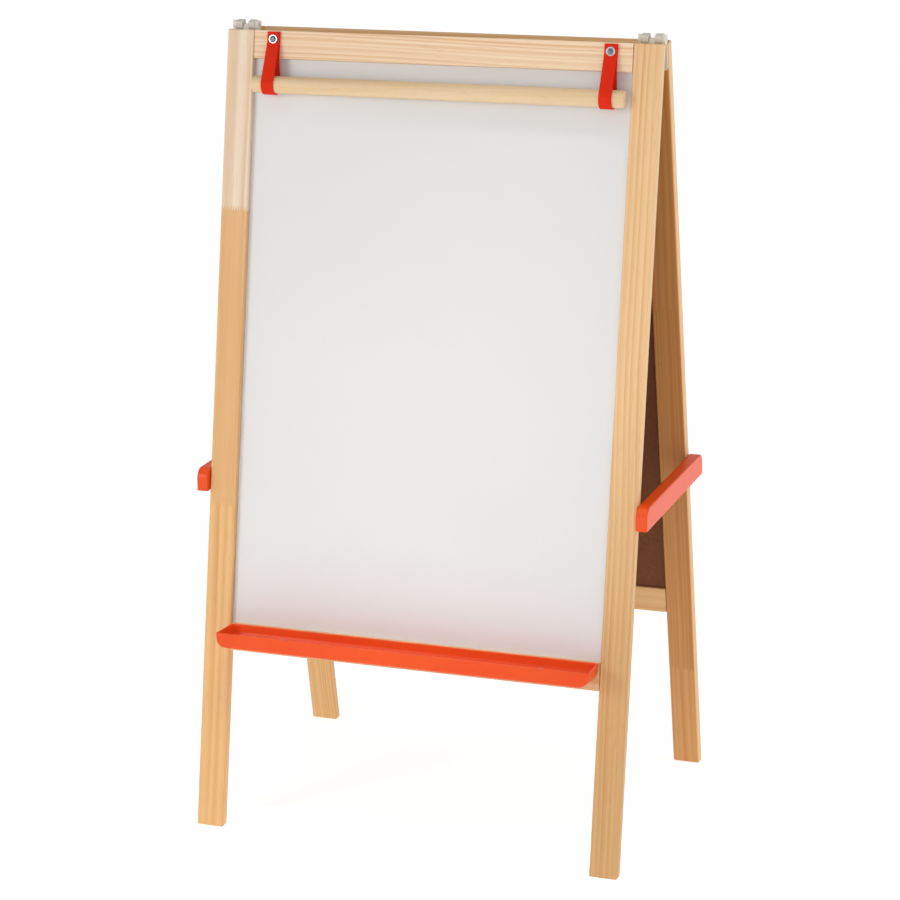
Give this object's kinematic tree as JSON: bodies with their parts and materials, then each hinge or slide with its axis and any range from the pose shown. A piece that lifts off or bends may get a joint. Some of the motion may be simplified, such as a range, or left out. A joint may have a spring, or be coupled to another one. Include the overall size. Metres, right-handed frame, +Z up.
{
  "type": "kids easel",
  "caption": "Folding double-sided kids easel: wooden A-frame with whiteboard and chalkboard, moulded trays, side stays that lift off, and a paper rod held in straps.",
  "frame": {"origin": "on the floor, midway between the four feet, under the hinge pins' axis", "axes": "+X to the right as one faces the whiteboard, -Y towards the whiteboard's side, +Z up"},
  "size_m": [0.692, 0.4796, 1.1748],
  "materials": {
    "pine": "clear-lacquered pine",
    "beech": "smooth bare beech",
    "whiteboard": "hardboard faced with glossy white",
    "chalkboard": "hardboard painted matt black on its chalk side",
    "orange_plastic": "satin moulded plastic",
    "red_strap": "flexible moulded strap",
    "pale_plastic": "satin moulded plastic",
    "zinc": "zinc-plated",
    "steel": "bright"
  },
  "bodies": {
    "front_frame": {"front_leg_left": "pine", "front_leg_right": "pine", "front_top_rail": "pine", "front_bottom_rail": "pine", "front_top_joint_dowel_left_outer": "beech", "front_top_joint_dowel_left_inner": "beech", "front_top_joint_dowel_right_outer": "beech", "front_top_joint_dowel_right_inner": "beech", "front_bottom_joint_dowel_left_outer": "beech", "front_bottom_joint_dowel_left_inner": "beech", "front_bottom_joint_dowel_right_outer": "beech", "front_bottom_joint_dowel_right_inner": "beech", "whiteboard_panel": "whiteboard", "front_tray": "orange_plastic", "front_tray_screw_left": "zinc", "strap_left": "red_strap", "strap_screw_left": "zinc", "strap_washer_left": "steel", "hinge_left_front_half": "pale_plastic", "hinge_left_front_screw_1": "zinc", "hinge_left_front_screw_2": "zinc", "hinge_left_pin": "steel", "stay_left_catch_peg": "zinc", "front_tray_screw_right": "zinc", "strap_right": "red_strap", "strap_screw_right": "zinc", "strap_washer_right": "steel", "hinge_right_front_half": "pale_plastic", "hinge_right_front_screw_1": "zinc", "hinge_right_front_screw_2": "zinc", "hinge_right_pin": "steel", "stay_right_catch_peg": "zinc"},
    "back_frame": {"back_leg_left": "pine", "back_leg_right": "pine", "back_top_rail": "pine", "back_bottom_rail": "pine", "back_top_joint_dowel_left_outer": "beech", "back_top_joint_dowel_left_inner": "beech", "back_top_joint_dowel_right_outer": "beech", "back_top_joint_dowel_right_inner": "beech", "back_bottom_joint_dowel_left_outer": "beech", "back_bottom_joint_dowel_left_inner": "beech", "back_bottom_joint_dowel_right_outer": "beech", "back_bottom_joint_dowel_right_inner": "beech", "chalkboard_panel": "chalkboard", "back_tray": "orange_plastic", "back_tray_screw_left": "zinc", "hinge_left_back_half": "pale_plastic", "hinge_left_back_screw_1": "zinc", "hinge_left_back_screw_2": "zinc", "stay_left_pivot_screw": "zinc", "back_tray_screw_right": "zinc", "hinge_right_back_half": "pale_plastic", "hinge_right_back_screw_1": "zinc", "hinge_right_back_screw_2": "zinc", "stay_right_pivot_screw": "zinc"},
    "stay_left": {"stay_left": "orange_plastic"},
    "stay_right": {"stay_right": "orange_plastic"},
    "paper_rod": {"paper_rod": "beech"}
  },
  "joints": [
    {"name": "fold", "type": "hinge", "parent": "front_frame", "child": "back_frame", "pos_m": [0, 0, 1.1681], "axis": [1, 0, 0], "range_deg": [-21, 0]},
    {"name": "stay_left_turn", "type": "hinge", "parent": "back_frame", "child": "stay_left", "pos_m": [-0.32825, 0.13492, 0.512], "axis": [1, 0, 0], "range_deg": [-79.5, 0]},
    {"name": "stay_right_turn", "type": "hinge", "parent": "back_frame", "child": "stay_right", "pos_m": [0.32825, 0.13492, 0.512], "axis": [1, 0, 0], "range_deg": [-79.5, 0]},
    {"name": "paper_rod_spin", "type": "hinge", "parent": "front_frame", "child": "paper_rod", "pos_m": [0, -0.04372, 1.08915], "axis": [1, 0, 0], "continuous": true}
  ],
  "couplings": [
    {"joint": "stay_left_turn", "follows": "fold", "ratio": 3.7857},
    {"joint": "stay_right_turn", "follows": "fold", "ratio": 3.7857}
  ]
}
